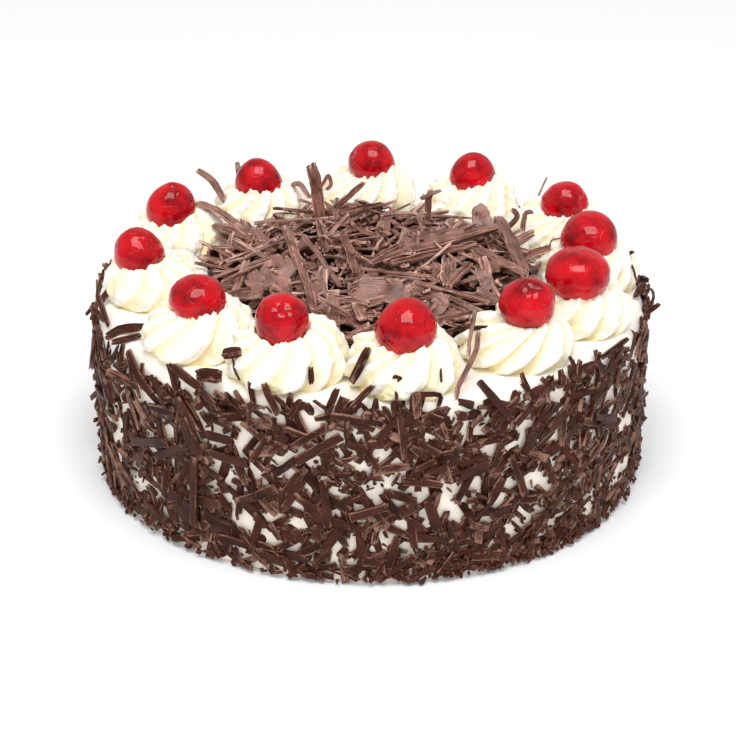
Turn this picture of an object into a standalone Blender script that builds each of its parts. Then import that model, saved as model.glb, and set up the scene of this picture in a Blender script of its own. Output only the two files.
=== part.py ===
"""A whole black forest cake, modelled in metres with +Z up and its origin at the centre of its base.

A round cake under whipped cream carries a coat of chocolate flakes on its side, a heap of chocolate
shavings in the middle of its top and a ring of piped cream rosettes, each with a glace cherry.
"""

import math
import random

import bmesh
import bpy
from mathutils import Vector

MM = 0.001

# Cream-covered cake
CAKE_RADIUS = 0.120
CAKE_HEIGHT = 0.080
RIM_ROUND = 0.0035
FOOT_BEVEL = 0.0008
ROUND_STEPS = 72

# What touches keeps this much clear.
GAP = 0.0003

# Coat of chocolate flakes on the side
COAT_RADIUS = 0.1236
COAT_UNEVEN = 0.0009
COAT_REACH = 0.1248
COAT_FOOT = 0.0006
COAT_BAND_HEIGHTS = (0.026, 0.054)
COAT_TOP_LOW = 0.0800
COAT_TOP_HIGH = 0.0865
COAT_LIP = 0.0016

# Ring of cherries: bearing in degrees, steps out from the ring and up from the level, and width, in mm
CHERRY_RING = 0.098
CHERRY_LEVEL = 0.101
CHERRIES = (
    (188, 3.0, -1.5, 21.5),
    (157, 1.5, 0.0, 22.5),
    (124, -2.0, -1.5, 22.5),
    (90, 1.5, 2.0, 21.5),
    (61, 2.0, 0.5, 22.0),
    (29, 4.0, -1.0, 22.0),
    (4, -2.0, -1.5, 25.0),
    (335, -3.0, 1.0, 26.0),
    (310, -1.0, 2.5, 23.0),
    (278, -0.5, 1.0, 25.0),
    (249, -0.5, -0.5, 22.5),
    (222, -3.0, -1.5, 23.0),
)
CHERRY_SEGMENTS = 12
CHERRY_RINGS = 8
CHERRY_SQUASH = 0.95
DENT_DEPTH = 0.16
DENT_SPREAD = 0.5
LUMP_DEPTH = 0.035

# Piped rosettes, one under each cherry: bearing in degrees and step out from their ring in mm
ROSETTE_RING = 0.095
ROSETTES = (
    (188, -2.0),
    (157, 0.0),
    (124, -1.0),
    (91, 0.0),
    (61, 0.0),
    (30, 0.0),
    (3, -1.0),
    (337, -1.0),
    (309, -3.0),
    (277, 1.5),
    (250, 1.0),
    (223, 1.0),
)
ROSETTE_RADIUS = 0.0248
ROSETTE_UNEVEN = 0.04
ROSETTE_EDGE = CAKE_RADIUS - 0.0004
STRANDS = 8
STRAND_STEPS = 4
STRAND_DEPTH = 0.13
STRAND_LIFT = 0.0008
STRAND_TURN = math.radians(78)
# From foot to shoulder: share of the rosette's radius, height above the cream, share of the strands'
# turn, and share of the lean towards the cherry
ROSETTE_ROWS = (
    (0.93, GAP, 0.00, 0.0),
    (1.00, 0.0040, 0.18, 0.0),
    (0.90, 0.0095, 0.45, 0.2),
    (0.67, 0.0142, 0.75, 0.6),
)
LIP_HEIGHT = 0.0165
# Shares of the socket's radius, from lip to middle
SOCKET_SHARES = (0.97, 0.80, 0.42)
SOCKET_GAP = 0.0007

# Heap of shavings inside the ring
HEAP_RADIUS = 0.079
HEAP_COLUMNS = 40
# Share of the heap's radius and height above the cream, from foot to middle
HEAP_ROWS = (
    (1.00, GAP),
    (0.97, 0.0070),
    (0.86, 0.0130),
    (0.58, 0.0165),
    (0.26, 0.0175),
)
HEAP_UNEVEN = 0.0024
HEAP_MARGIN = 0.0010

CREAM = (0.93, 0.90, 0.80, 1.0)
CHOCOLATE = (0.055, 0.022, 0.015, 1.0)
SHAVING = (0.10, 0.045, 0.032, 1.0)
CHERRY_RED = (0.52, 0.010, 0.012, 1.0)


def clear_scene():
    for obj in list(bpy.data.objects):
        bpy.data.objects.remove(obj, do_unlink=True)


def make_material(name, color, roughness):
    material = bpy.data.materials.new(name)
    material.use_nodes = True
    shader = material.node_tree.nodes["Principled BSDF"]
    shader.inputs["Base Color"].default_value = color
    shader.inputs["Roughness"].default_value = roughness
    shader.inputs["Metallic"].default_value = 0.0
    return material


def add_object(name, mesh, material, collection, location=(0, 0, 0)):
    obj = bpy.data.objects.new(name, mesh)
    obj.location = location
    mesh.materials.append(material)
    mesh.shade_smooth()
    mesh.set_sharp_from_angle(angle=math.radians(50))
    collection.objects.link(obj)
    return obj


def on_bearing(radius, bearing, height=0.0):
    return Vector((radius * math.cos(bearing), radius * math.sin(bearing), height))


def loft(name, rings, closed_loop=False):
    """Joins rings of equal counts. An open loft ends in two fans, and a closed one runs back to its start."""
    bm = bmesh.new()
    rows = [[bm.verts.new(point) for point in ring] for ring in rings]
    count = len(rows[0])
    pairs = list(zip(rows, rows[1:]))
    if closed_loop:
        pairs.append((rows[-1], rows[0]))
    for low, high in pairs:
        for k in range(count):
            after = (k + 1) % count
            bm.faces.new((low[k], low[after], high[after], high[k]))
    if not closed_loop:
        for row in (rows[0], rows[-1]):
            middle = bm.verts.new(sum((v.co for v in row), Vector()) / count)
            for k in range(count):
                bm.faces.new((row[k], row[(k + 1) % count], middle))
    bmesh.ops.recalc_face_normals(bm, faces=bm.faces)
    bmesh.ops.triangulate(bm, faces=bm.faces)
    mesh = bpy.data.meshes.new(name)
    bm.to_mesh(mesh)
    bm.free()
    return mesh


def cherry_place(index):
    bearing, out, up, width = CHERRIES[index]
    centre = on_bearing(CHERRY_RING + out * MM, math.radians(bearing), CHERRY_LEVEL + up * MM)
    return centre, 0.5 * width * MM


def rosette_centre(index):
    bearing, out = ROSETTES[index]
    return on_bearing(ROSETTE_RING + out * MM, math.radians(bearing), CAKE_HEIGHT)


def make_cake(material, collection):
    """A turned block of cake and cream with a soft rim and a flat foot."""
    mesh = bpy.data.meshes.new("cream_cake")
    bm = bmesh.new()
    profile = [(0.0, CAKE_HEIGHT), (0.6 * CAKE_RADIUS, CAKE_HEIGHT)]
    for step in range(4):
        angle = math.radians(90 - 30 * step)
        across = CAKE_RADIUS - RIM_ROUND + RIM_ROUND * math.cos(angle)
        profile.append((across, CAKE_HEIGHT - RIM_ROUND + RIM_ROUND * math.sin(angle)))
    profile += [(CAKE_RADIUS, FOOT_BEVEL), (CAKE_RADIUS - FOOT_BEVEL, 0.0), (0.0, 0.0)]
    verts = [bm.verts.new((across, 0.0, height)) for across, height in profile]
    for start, end in zip(verts, verts[1:]):
        bm.edges.new((start, end))
    bm.to_mesh(mesh)
    bm.free()
    obj = add_object("cream_cake", mesh, material, collection)
    screw = obj.modifiers.new("Turned", "SCREW")
    screw.steps = ROUND_STEPS
    screw.render_steps = ROUND_STEPS
    screw.use_merge_vertices = True
    screw.merge_threshold = 0.00001
    screw.use_smooth_shade = True


def make_coat(material, collection):
    """A sleeve of flakes round the side, uneven outside and ragged along its top."""
    rng = random.Random(3)
    step = 2 * math.pi / ROUND_STEPS
    bearings = [k * step for k in range(ROUND_STEPS)]
    quarter = ROUND_STEPS // 4
    inner = CAKE_RADIUS + GAP

    def outer_ring(height):
        ring = []
        for k, bearing in enumerate(bearings):
            radius = COAT_RADIUS + rng.uniform(-COAT_UNEVEN, COAT_UNEVEN)
            if k % quarter == 0:
                radius = COAT_REACH
            ring.append(on_bearing(radius, bearing, height))
        return ring

    tops = [rng.uniform(COAT_TOP_LOW, COAT_TOP_HIGH) for _ in bearings]
    rings = [[on_bearing(inner, bearing, COAT_FOOT) for bearing in bearings]]
    rings += [outer_ring(height) for height in (COAT_FOOT,) + COAT_BAND_HEIGHTS]
    rings.append([on_bearing(inner + COAT_LIP, b, top) for b, top in zip(bearings, tops)])
    rings.append([on_bearing(inner, b, top) for b, top in zip(bearings, tops)])
    mesh = loft("flake_coat", rings, closed_loop=True)
    add_object("flake_coat", mesh, material, collection)


def rosette_reach(index, direction, radius):
    """How far a rosette spreads in a direction before the cake's rim or the neighbour it squeezes."""
    centre = rosette_centre(index)
    along = centre.x * math.cos(direction) + centre.y * math.sin(direction)
    to_rim = math.sqrt(along ** 2 + ROSETTE_EDGE ** 2 - centre.xy.length ** 2) - along
    reach = min(radius, to_rim)
    for neighbour in (index - 1, (index + 1) % len(ROSETTES)):
        way = rosette_centre(neighbour) - centre
        facing = math.cos(direction - math.atan2(way.y, way.x))
        if facing > 0.2:
            reach = min(reach, (0.5 * way.length - GAP) / facing)
    return reach


def make_rosette(index, material, collection):
    """A mound of piped strands that lean as they rise, with a socket under its cherry."""
    rng = random.Random(40 + index)
    centre = rosette_centre(index)
    cherry, cherry_radius = cherry_place(index)
    to_cherry = cherry - centre
    socket = cherry_radius + SOCKET_GAP
    columns = STRANDS * STRAND_STEPS
    start = rng.uniform(0, 2 * math.pi)
    radius = ROSETTE_RADIUS * rng.uniform(1 - ROSETTE_UNEVEN, 1)
    crests = [0.5 + 0.5 * math.cos(2 * math.pi * k / STRAND_STEPS) for k in range(columns)]

    def strand_point(k, across, height, turned, lean):
        direction = start + 2 * math.pi * k / columns + turned * STRAND_TURN
        point = on_bearing(across, direction, height + STRAND_LIFT * crests[k] * turned)
        point.xy += lean * to_cherry.xy
        beside = (point.xy - to_cherry.xy).length
        if beside < socket:
            roof = to_cherry.z - math.sqrt(socket ** 2 - beside ** 2)
            point.z = min(point.z, roof)
        return point

    rings = []
    for share, height, turned, lean in ROSETTE_ROWS:
        ring = []
        for k, crest in enumerate(crests):
            direction = start + 2 * math.pi * k / columns + turned * STRAND_TURN
            reach = rosette_reach(index, direction, radius)
            across = share * reach * (1 - STRAND_DEPTH * (1 - crest))
            ring.append(strand_point(k, across, height, turned, lean))
        rings.append(ring)
    for share in SOCKET_SHARES:
        rings.append([strand_point(k, share * socket, LIP_HEIGHT, 1.0, 1.0) for k in range(columns)])
    name = f"rosette_{index + 1:02d}"
    add_object(name, loft(name, rings), material, collection, centre)


def make_cherry(index, material, collection):
    """A glace cherry: a soft, squashed ball with a stem dimple and shallow lumps."""
    rng = random.Random(80 + index)
    centre, radius = cherry_place(index)
    stem = Vector((rng.uniform(-0.7, 0.7), rng.uniform(-0.9, 0.3), 1.0)).normalized()
    phase = rng.uniform(0, 2 * math.pi)
    bm = bmesh.new()
    bmesh.ops.create_uvsphere(
        bm, u_segments=CHERRY_SEGMENTS, v_segments=CHERRY_RINGS, radius=radius
    )
    for vert in bm.verts:
        way = vert.co.normalized()
        away = way.angle(stem)
        bearing = math.atan2(way.y, way.x)
        dent = DENT_DEPTH * math.exp(-((away / DENT_SPREAD) ** 2))
        lump = LUMP_DEPTH * (1 - math.sin(2 * bearing + phase)) * (1 - way.z ** 2)
        vert.co *= 1 - dent - lump
    widest = max(vert.co.length for vert in bm.verts)
    full_size = Vector((1, 1, CHERRY_SQUASH)) * radius / widest
    bmesh.ops.scale(bm, vec=full_size, verts=bm.verts)
    bmesh.ops.triangulate(bm, faces=bm.faces)
    name = f"cherry_{index + 1:02d}"
    mesh = bpy.data.meshes.new(name)
    bm.to_mesh(mesh)
    bm.free()
    add_object(name, mesh, material, collection, centre)


def heap_reach(bearing):
    """The heap spreads to its own radius, or to the nearest rosette on that bearing."""
    reach = HEAP_RADIUS
    for index in range(len(ROSETTES)):
        centre = rosette_centre(index)
        off = bearing - math.atan2(centre.y, centre.x)
        ring = centre.xy.length
        beside = ring * math.sin(off)
        if math.cos(off) > 0 and abs(beside) < ROSETTE_RADIUS:
            near = ring * math.cos(off) - math.sqrt(ROSETTE_RADIUS ** 2 - beside ** 2)
            reach = min(reach, near)
    return reach - HEAP_MARGIN


def make_heap(material, collection):
    """A flat-topped heap of shavings that fills the ring and pushes out between the rosettes."""
    rng = random.Random(7)
    bearings = [2 * math.pi * k / HEAP_COLUMNS for k in range(HEAP_COLUMNS)]
    reaches = [heap_reach(bearing) for bearing in bearings]
    foot = HEAP_ROWS[0][1]
    rings = []
    for share, height in HEAP_ROWS:
        ring = []
        for bearing, reach in zip(bearings, reaches):
            lump = rng.uniform(-HEAP_UNEVEN, HEAP_UNEVEN) if height > foot else 0.0
            across = share * reach - abs(lump)
            ring.append(on_bearing(across, bearing, CAKE_HEIGHT + height + lump))
        rings.append(ring)
    mesh = loft("shavings_heap", rings)
    add_object("shavings_heap", mesh, material, collection)


def main():
    clear_scene()
    collection = bpy.data.collections.new("black_forest_cake")
    bpy.context.scene.collection.children.link(collection)
    make_cake(make_material("cream", CREAM, 0.45), collection)
    make_coat(make_material("chocolate_flakes", CHOCOLATE, 0.5), collection)
    make_heap(make_material("chocolate_shavings", SHAVING, 0.45), collection)
    for index in range(len(CHERRIES)):
        piped = make_material(f"piped_cream_{index + 1:02d}", CREAM, 0.4)
        make_rosette(index, piped, collection)
        glace = make_material(f"glace_cherry_{index + 1:02d}", CHERRY_RED, 0.12)
        make_cherry(index, glace, collection)


main()
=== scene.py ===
"""The looks of a black forest cake: whipped cream, piped rosettes, glace cherries and loose chocolate.

Every piece is mesh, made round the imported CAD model. Lengths are in metres and angles in degrees, unless
a name says otherwise, and everything random is seeded.
"""

import math

import bmesh
import bpy
import numpy as np
from mathutils import Matrix, Vector


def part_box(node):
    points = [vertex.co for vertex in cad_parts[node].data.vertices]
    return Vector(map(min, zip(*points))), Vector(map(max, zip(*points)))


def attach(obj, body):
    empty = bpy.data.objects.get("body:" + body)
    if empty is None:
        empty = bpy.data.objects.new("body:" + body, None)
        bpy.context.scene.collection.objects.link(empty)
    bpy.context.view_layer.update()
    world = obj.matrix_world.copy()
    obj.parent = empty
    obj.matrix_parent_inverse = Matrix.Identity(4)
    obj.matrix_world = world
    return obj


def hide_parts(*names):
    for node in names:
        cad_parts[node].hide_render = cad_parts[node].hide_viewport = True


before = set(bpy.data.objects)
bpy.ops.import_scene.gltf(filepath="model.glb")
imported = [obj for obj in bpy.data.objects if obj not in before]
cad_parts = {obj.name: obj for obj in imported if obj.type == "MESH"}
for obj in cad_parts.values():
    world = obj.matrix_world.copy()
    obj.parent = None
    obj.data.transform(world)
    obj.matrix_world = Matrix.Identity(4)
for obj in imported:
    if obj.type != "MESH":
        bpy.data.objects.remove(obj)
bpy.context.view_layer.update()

MM = 0.001
TURN = 2 * math.pi
COUNT = 12
ROSETTE_NODES = [f"rosette_{k + 1:02d}" for k in range(COUNT)]
CHERRY_NODES = [f"cherry_{k + 1:02d}" for k in range(COUNT)]


# ---------------------------------------------------------------- frame

def box_of(node):
    low, high = (np.array(corner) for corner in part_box(node))
    return low, high, 0.5 * (low + high), 0.5 * (high - low)


CAKE_LOW, CAKE_HIGH, _, CAKE_HALF = box_of("cream_cake")
CAKE_RADIUS = CAKE_HALF[0]
CAKE_TOP = CAKE_HIGH[2]
COAT_LOW, COAT_HIGH, _, _ = box_of("flake_coat")
HEAP_LOW, HEAP_HIGH, HEAP_CENTRE, HEAP_HALF = box_of("shavings_heap")
ROSETTE_BOXES = [box_of(node) for node in ROSETTE_NODES]
CHERRY_BOXES = [box_of(node) for node in CHERRY_NODES]


# ---------------------------------------------------------------- numbers and meshes

def unit(vectors):
    return vectors / np.linalg.norm(vectors, axis=-1, keepdims=True)


def waves(points, wavelength, seed, count=7):
    """Smooth noise of about -1 to 1: plane waves of about one length in random directions."""
    rng = np.random.default_rng(seed)
    total = np.zeros(points.shape[:-1])
    for _ in range(count):
        way = rng.normal(size=3)
        way *= TURN / (wavelength * rng.uniform(0.7, 1.4) * np.linalg.norm(way))
        total += np.sin(points @ way + rng.uniform(0, TURN))
    return total / math.sqrt(count)


def smooth_line(controls, count):
    """A Catmull-Rom line of count points through the controls."""
    controls = np.array(controls, dtype=float)
    padded = np.vstack([2 * controls[0] - controls[1], controls, 2 * controls[-1] - controls[-2]])
    place = np.linspace(0, len(controls) - 1, count)
    start = np.minimum(place.astype(int), len(controls) - 2)
    t = (place - start)[:, None]
    a, b, c, d = (padded[start + k] for k in range(4))
    return 0.5 * (2 * b + (c - a) * t + (2 * a - 5 * b + 4 * c - d) * t**2 + (3 * b - a - 3 * c + d) * t**3)


def add_piece(name, points, faces, materials, face_slots=None, smooth=True):
    mesh = bpy.data.meshes.new(name)
    mesh.from_pydata(np.asarray(points).reshape(-1, 3).tolist(), [], faces)
    for material in materials:
        mesh.materials.append(material)
    mesh.polygons.foreach_set("use_smooth", [smooth] * len(mesh.polygons))
    if face_slots is not None:
        mesh.polygons.foreach_set("material_index", face_slots)
    mesh.update()
    piece = bpy.data.objects.new(name, mesh)
    bpy.context.scene.collection.objects.link(piece)
    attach(piece, "root")
    return piece


def add_shade(piece, values, end):
    """Paint shade on a skin: how shaded each point is, 0 to 1, with one value for its two middle points."""
    shade = piece.data.attributes.new("shade", "FLOAT", "POINT")
    shades = np.concatenate([np.ravel(values), [end, end]])
    shade.data.foreach_set("value", shades.clip(0, 1).astype(np.float32))


def skin_faces(rows, columns):
    """Faces of a closed skin over rows of points, with a middle point at each end."""
    faces = []
    for row in range(rows - 1):
        for k in range(columns):
            after = (k + 1) % columns
            low, high = row * columns, (row + 1) * columns
            faces.append((low + k, low + after, high + after, high + k))
    first, last = rows * columns, rows * columns + 1
    top = (rows - 1) * columns
    for k in range(columns):
        after = (k + 1) % columns
        faces.append((after, k, first))
        faces.append((top + k, top + after, last))
    return faces


def add_skin(name, rings, materials):
    """A closed piece from rings that run from its bottom middle to its top middle, counter-clockwise."""
    rings = np.asarray(rings)
    ends = np.array([rings[0].mean(axis=0), rings[-1].mean(axis=0)])
    points = np.vstack([rings.reshape(-1, 3), ends])
    return add_piece(name, points, skin_faces(*rings.shape[:2]), materials)


# ---------------------------------------------------------------- materials

class Nodes:
    """Short calls for a material's node tree."""

    def __init__(self, name):
        self.material = bpy.data.materials.new(name)
        self.material.use_nodes = True
        self.tree = self.material.node_tree
        self.shader = self.tree.nodes["Principled BSDF"]

    def add(self, kind, **values):
        node = self.tree.nodes.new(kind)
        for key, value in values.items():
            setattr(node, key, value)
        return node

    def link(self, out, into):
        self.tree.links.new(out, into)

    def coordinates(self, scale=(1, 1, 1), attribute=None):
        """Object coordinates in millimetres, or a mesh attribute, stretched by scale."""
        mapping = self.add("ShaderNodeMapping")
        if attribute:
            source = self.add("ShaderNodeAttribute", attribute_name=attribute)
            self.link(source.outputs["Vector"], mapping.inputs["Vector"])
            mapping.inputs["Scale"].default_value = scale
        else:
            source = self.add("ShaderNodeTexCoord")
            self.link(source.outputs["Object"], mapping.inputs["Vector"])
            mapping.inputs["Scale"].default_value = [1000 * s for s in scale]
        return mapping.outputs["Vector"]

    def noise(self, vector, scale, detail=3.0, roughness=0.55):
        node = self.add("ShaderNodeTexNoise")
        self.link(vector, node.inputs["Vector"])
        node.inputs["Scale"].default_value = scale
        node.inputs["Detail"].default_value = detail
        node.inputs["Roughness"].default_value = roughness
        return node.outputs["Fac"]

    def ramp(self, value, stops):
        node = self.add("ShaderNodeValToRGB")
        self.link(value, node.inputs["Fac"])
        elements = node.color_ramp.elements
        while len(elements) < len(stops):
            elements.new(0.5)
        for element, (place, color) in zip(elements, stops):
            element.position = place
            element.color = (*color, 1.0)
        return node.outputs["Color"]

    def remap(self, value, low, high, start=0.3, end=0.7):
        node = self.add("ShaderNodeMapRange")
        self.link(value, node.inputs["Value"])
        for key, number in (("From Min", start), ("From Max", end), ("To Min", low), ("To Max", high)):
            node.inputs[key].default_value = number
        return node.outputs["Result"]

    def math(self, operation, first, second=0.0):
        node = self.add("ShaderNodeMath", operation=operation)
        for out, into in ((first, node.inputs[0]), (second, node.inputs[1])):
            if isinstance(out, float):
                into.default_value = out
            else:
                self.link(out, into)
        return node.outputs["Value"]

    def mix(self, factor, first, second, blend="MIX"):
        node = self.add("ShaderNodeMix", data_type="RGBA", blend_type=blend)
        if isinstance(factor, float):
            node.inputs["Factor"].default_value = factor
        else:
            self.link(factor, node.inputs["Factor"])
        for out, into in ((first, node.inputs["A"]), (second, node.inputs["B"])):
            if isinstance(out, tuple):
                into.default_value = (*out, 1.0)
            else:
                self.link(out, into)
        return node.outputs["Result"]

    def bump(self, height, strength, distance, below=None):
        node = self.add("ShaderNodeBump")
        node.inputs["Strength"].default_value = strength
        node.inputs["Distance"].default_value = distance
        self.link(height, node.inputs["Height"])
        if below is not None:
            self.link(below, node.inputs["Normal"])
        self.link(node.outputs["Normal"], self.shader.inputs["Normal"])
        return node.outputs["Normal"]

    def set(self, **values):
        for key, value in values.items():
            self.shader.inputs[key.replace("_", " ")].default_value = value


def cream_material(name, light, shade, roughness):
    """Whipped cream with painted shade: yellower where the piece's shade attribute says it is shaded, as in its
    folds.
    """
    nodes = Nodes(name)
    patches = nodes.noise(nodes.coordinates(), 0.06, 2.0)
    tone = nodes.ramp(patches, ((0.35, tuple(0.985 * value for value in light)), (0.6, light)))
    painted_shade = nodes.add("ShaderNodeAttribute", attribute_name="shade").outputs["Fac"]
    nodes.link(nodes.mix(painted_shade, tone, shade), nodes.shader.inputs["Base Color"])
    fine = nodes.noise(nodes.coordinates(), 0.9, 4.0)
    nodes.link(nodes.remap(fine, roughness - 0.08, roughness + 0.1), nodes.shader.inputs["Roughness"])
    nodes.bump(fine, 0.3, 0.3 * MM)
    nodes.set(Subsurface_Weight=0.2, Subsurface_Radius=(1.0, 0.8, 0.5), Subsurface_Scale=0.5 * MM)
    nodes.set(Specular_IOR_Level=0.3)
    return nodes.material


def chocolate_material(name, smooth, broken, roughness, specular, smooth_share=0.30, shade_lines=0.0):
    """Chocolate, smooth on its faces and pale where a point attribute says: wear on broken edges and painted
    highlight on edges and crests that face the light. It is streaked along its grain, with painted shade as thin dark
    lines along the grain.
    """
    nodes = Nodes(name)
    streaks = nodes.noise(nodes.coordinates((0.10, 1.6, 1.0), "grain"), 1.0, 4.0)
    patches = nodes.noise(nodes.coordinates((0.10, 0.15, 1.0), "grain"), 1.0, 1.0)
    speckles = nodes.noise(nodes.coordinates(), 1.6, 3.0, 0.7)
    dark = tuple(share * value for share, value in zip((0.45, 0.31, 0.26), smooth))
    light = tuple(1.45 * value for value in smooth)
    tone = nodes.ramp(patches, ((0.28, dark), (0.5, smooth), (0.74, light)))
    worn = nodes.add("ShaderNodeAttribute", attribute_name="worn").outputs["Fac"]
    ragged = nodes.math("ADD", worn, nodes.remap(speckles, -0.4, 0.4, 0.25, 0.75))
    streaked = nodes.math("ADD", ragged, nodes.remap(streaks, -0.25, 0.25, 0.3, 0.7))
    wear_and_light_share = nodes.remap(streaked, 0.0, 1.0, smooth_share, 1.1)
    # The pale colour marks wear on broken edges and painted highlight on edges that catch the light.
    solid = nodes.mix(wear_and_light_share, tone, broken)
    # Painted shade: thin dark lines along the grain on the rougher parts, for the shadow in the grooves.
    shade_line_noise = nodes.noise(nodes.coordinates((0.07, 1.1, 1.0), "grain"), 1.0, 2.0)
    rough_share = nodes.remap(worn, 0.1, 1.0, 0.0, 0.15)
    shade_line_share = nodes.math("MULTIPLY", nodes.remap(shade_line_noise, shade_lines, 0.0, 0.35, 0.45), rough_share)
    deep = tuple(share * value for share, value in zip((0.12, 0.07, 0.05), smooth))
    nodes.link(nodes.mix(shade_line_share, solid, deep), nodes.shader.inputs["Base Color"])
    nodes.link(nodes.remap(wear_and_light_share, roughness, roughness + 0.25, 0.0, 1.0), nodes.shader.inputs["Roughness"])
    first = nodes.bump(speckles, 0.4, 0.35 * MM)
    nodes.bump(streaks, 0.55, 0.4 * MM, first)
    nodes.set(Specular_IOR_Level=specular)
    return nodes.material


def cherry_material():
    """Deep red syrupy flesh with a few thin creases in a clear gloss."""
    nodes = Nodes("glace_cherry")
    flesh = nodes.noise(nodes.coordinates(), 0.11, 3.0)
    red = nodes.ramp(flesh, ((0.32, (0.22, 0.0, 0.004)), (0.52, (0.49, 0.002, 0.008)), (0.75, (0.68, 0.005, 0.014))))
    nodes.link(red, nodes.shader.inputs["Base Color"])
    wander = nodes.noise(nodes.coordinates(), 0.13, 1.5)
    crease = nodes.remap(nodes.math("ABSOLUTE", nodes.math("SUBTRACT", wander, 0.5)), 0.0, 1.0, 0.0, 0.035)
    wrinkles = nodes.noise(nodes.coordinates(), 0.35, 2.0)
    nodes.link(nodes.remap(wrinkles, 0.05, 0.15), nodes.shader.inputs["Roughness"])
    first = nodes.bump(crease, 0.5, 0.35 * MM)
    nodes.bump(wrinkles, 0.22, 0.8 * MM, first)
    nodes.set(Subsurface_Weight=0.4, Subsurface_Radius=(1.0, 0.05, 0.04), Subsurface_Scale=3.0 * MM)
    nodes.set(Coat_Weight=0.45, Coat_Roughness=0.03, Specular_IOR_Level=0.1)
    return nodes.material


def floor_material():
    nodes = Nodes("pale_floor")
    cloud = nodes.noise(nodes.coordinates(), 0.002, 2.0)
    nodes.link(nodes.ramp(cloud, ((0.2, (0.90, 0.925, 0.955)), (0.8, (0.91, 0.935, 0.965)))), nodes.shader.inputs["Base Color"])
    nodes.set(Roughness=0.7, Specular_IOR_Level=0.1)
    return nodes.material


# ---------------------------------------------------------------- cream

CAKE_COLUMNS = 288
RIM_ROUND = 6.5 * MM
# How much of the shade colour the cake takes: on its side, painted shade and painted warm light reflected from the
# chocolate flakes, with some chocolate dust on the cream; a little on its top.
SIDE_SHADE_AND_DUST, TOP_SHADE = 0.75, 0.1


def make_cream_cake(material):
    """The smoothed cream, with a soft uneven rim and shallow marks of the palette knife."""
    outline = [(0.02, 0.0), (0.6, 0.0), (0.985, 0.0)]
    profile = [(share * CAKE_RADIUS, CAKE_LOW[2]) for share, _ in outline]
    straight = np.linspace(1.0 * MM, CAKE_TOP - RIM_ROUND, 36)
    profile += [(CAKE_RADIUS, height) for height in straight]
    for angle in np.linspace(0, math.pi / 2, 9)[1:]:
        across = CAKE_RADIUS - RIM_ROUND * (1 - math.cos(angle))
        profile.append((across, CAKE_TOP - RIM_ROUND * (1 - math.sin(angle))))
    profile += [(across, CAKE_TOP) for across in np.linspace(CAKE_RADIUS - RIM_ROUND, 0.002, 34)[1:]]
    profile = np.array(profile)
    bearings = np.arange(CAKE_COLUMNS) * TURN / CAKE_COLUMNS
    ways = np.stack([np.cos(bearings), np.sin(bearings), np.zeros_like(bearings)], axis=-1)
    rings = profile[:, 0][:, None, None] * ways[None]
    rings[..., 2] = profile[:, 1][:, None]
    off_floor = np.clip(profile[:, 1] / (10 * MM), 0, 1)[:, None]
    side = (profile[:, 1] < CAKE_TOP - 0.5 * RIM_ROUND)[:, None]
    strokes = waves(rings * (1, 1, 3), 26 * MM, 11) * 0.35 * MM + waves(rings * (1, 1, 2.5), 9 * MM, 12) * 0.12 * MM
    swells = waves(rings, 34 * MM, 13) * 0.3 * MM + waves(rings, 8 * MM, 14) * 0.09 * MM
    rings += ways[None] * (np.where(side, strokes, 0.6 * strokes) * off_floor - 0.2 * MM)[..., None]
    rings[..., 2] += np.where(side, 0.0, swells)
    rings[..., 2] = np.maximum(rings[..., 2], CAKE_LOW[2])
    piece = add_skin("whipped_cream_cake", rings, [material])
    low = np.clip((CAKE_TOP - rings[..., 2]) / (8 * MM), 0, 1)
    add_shade(piece, TOP_SHADE + (SIDE_SHADE_AND_DUST - TOP_SHADE) * low, TOP_SHADE)
    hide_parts("cream_cake")


# From foot to crest: share of the rosette's reach, share of its height there and share of the lean
ROSETTE_PROFILE = (
    (0.90, -0.04, 0.0),
    (0.965, 0.05, 0.0),
    (0.995, 0.17, 0.0),
    (1.0, 0.33, 0.03),
    (0.965, 0.51, 0.08),
    (0.905, 0.68, 0.16),
    (0.82, 0.83, 0.28),
    (0.72, 0.95, 0.45),
    (0.61, 1.02, 0.65),
    (0.51, 1.02, 0.85),
    (0.42, 0.95, 1.0),
)
ROSETTE_RADIUS = 24.6 * MM
ROSETTE_ROWS = 48
ROSETTE_TURNS = (62, 66, 60, 58, 64, 60, 66, 62, 74, 52, 48, 72)
RIDGE_SHARES = (0.65, 0.6, 0.75, 0.75, 0.8, 0.8, 0.85, 0.95, 1.05, 0.85, 0.8, 0.7)
STRANDS = 11
STRAND_STEPS = 18
STRAND_DEPTH = 3.9 * MM
TOOTH = 0.6 * MM
TORN_ROWS = 20
LIP_LOW, LIP_HIGH = 14.2 * MM, 19.0 * MM
LIP_HIGH_BEARING = math.radians(50)
SEAT_SHARES = (0.85, 0.55, 0.2)


def rosette_reach(index, directions, radius):
    """How far a rosette spreads before the cake's rim or the neighbour that it squeezes."""
    centre = ROSETTE_BOXES[index][2][:2]
    ways = np.stack([np.cos(directions), np.sin(directions)], axis=-1)
    along = ways @ centre
    edge = CAKE_RADIUS - 0.3 * MM
    reach = np.minimum(radius, np.sqrt(along**2 + edge**2 - centre @ centre) - along)
    for other in ((index - 1) % COUNT, (index + 1) % COUNT):
        gap = ROSETTE_BOXES[other][2][:2] - centre
        facing = ways @ (gap / np.linalg.norm(gap))
        limit = (0.5 * np.linalg.norm(gap) + 0.3 * MM) / np.maximum(facing, 0.2)
        reach = np.minimum(reach, np.where(facing > 0.2, limit, reach))
    return reach


def strand_crest(place):
    """Height of a strand's ridge, 0 to 1: it rises slowly and drops sharply over the next strand."""
    inside = (place - np.floor(place)) ** 2.0
    return 1 - np.abs(2 * inside - 1) ** 1.8


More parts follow.
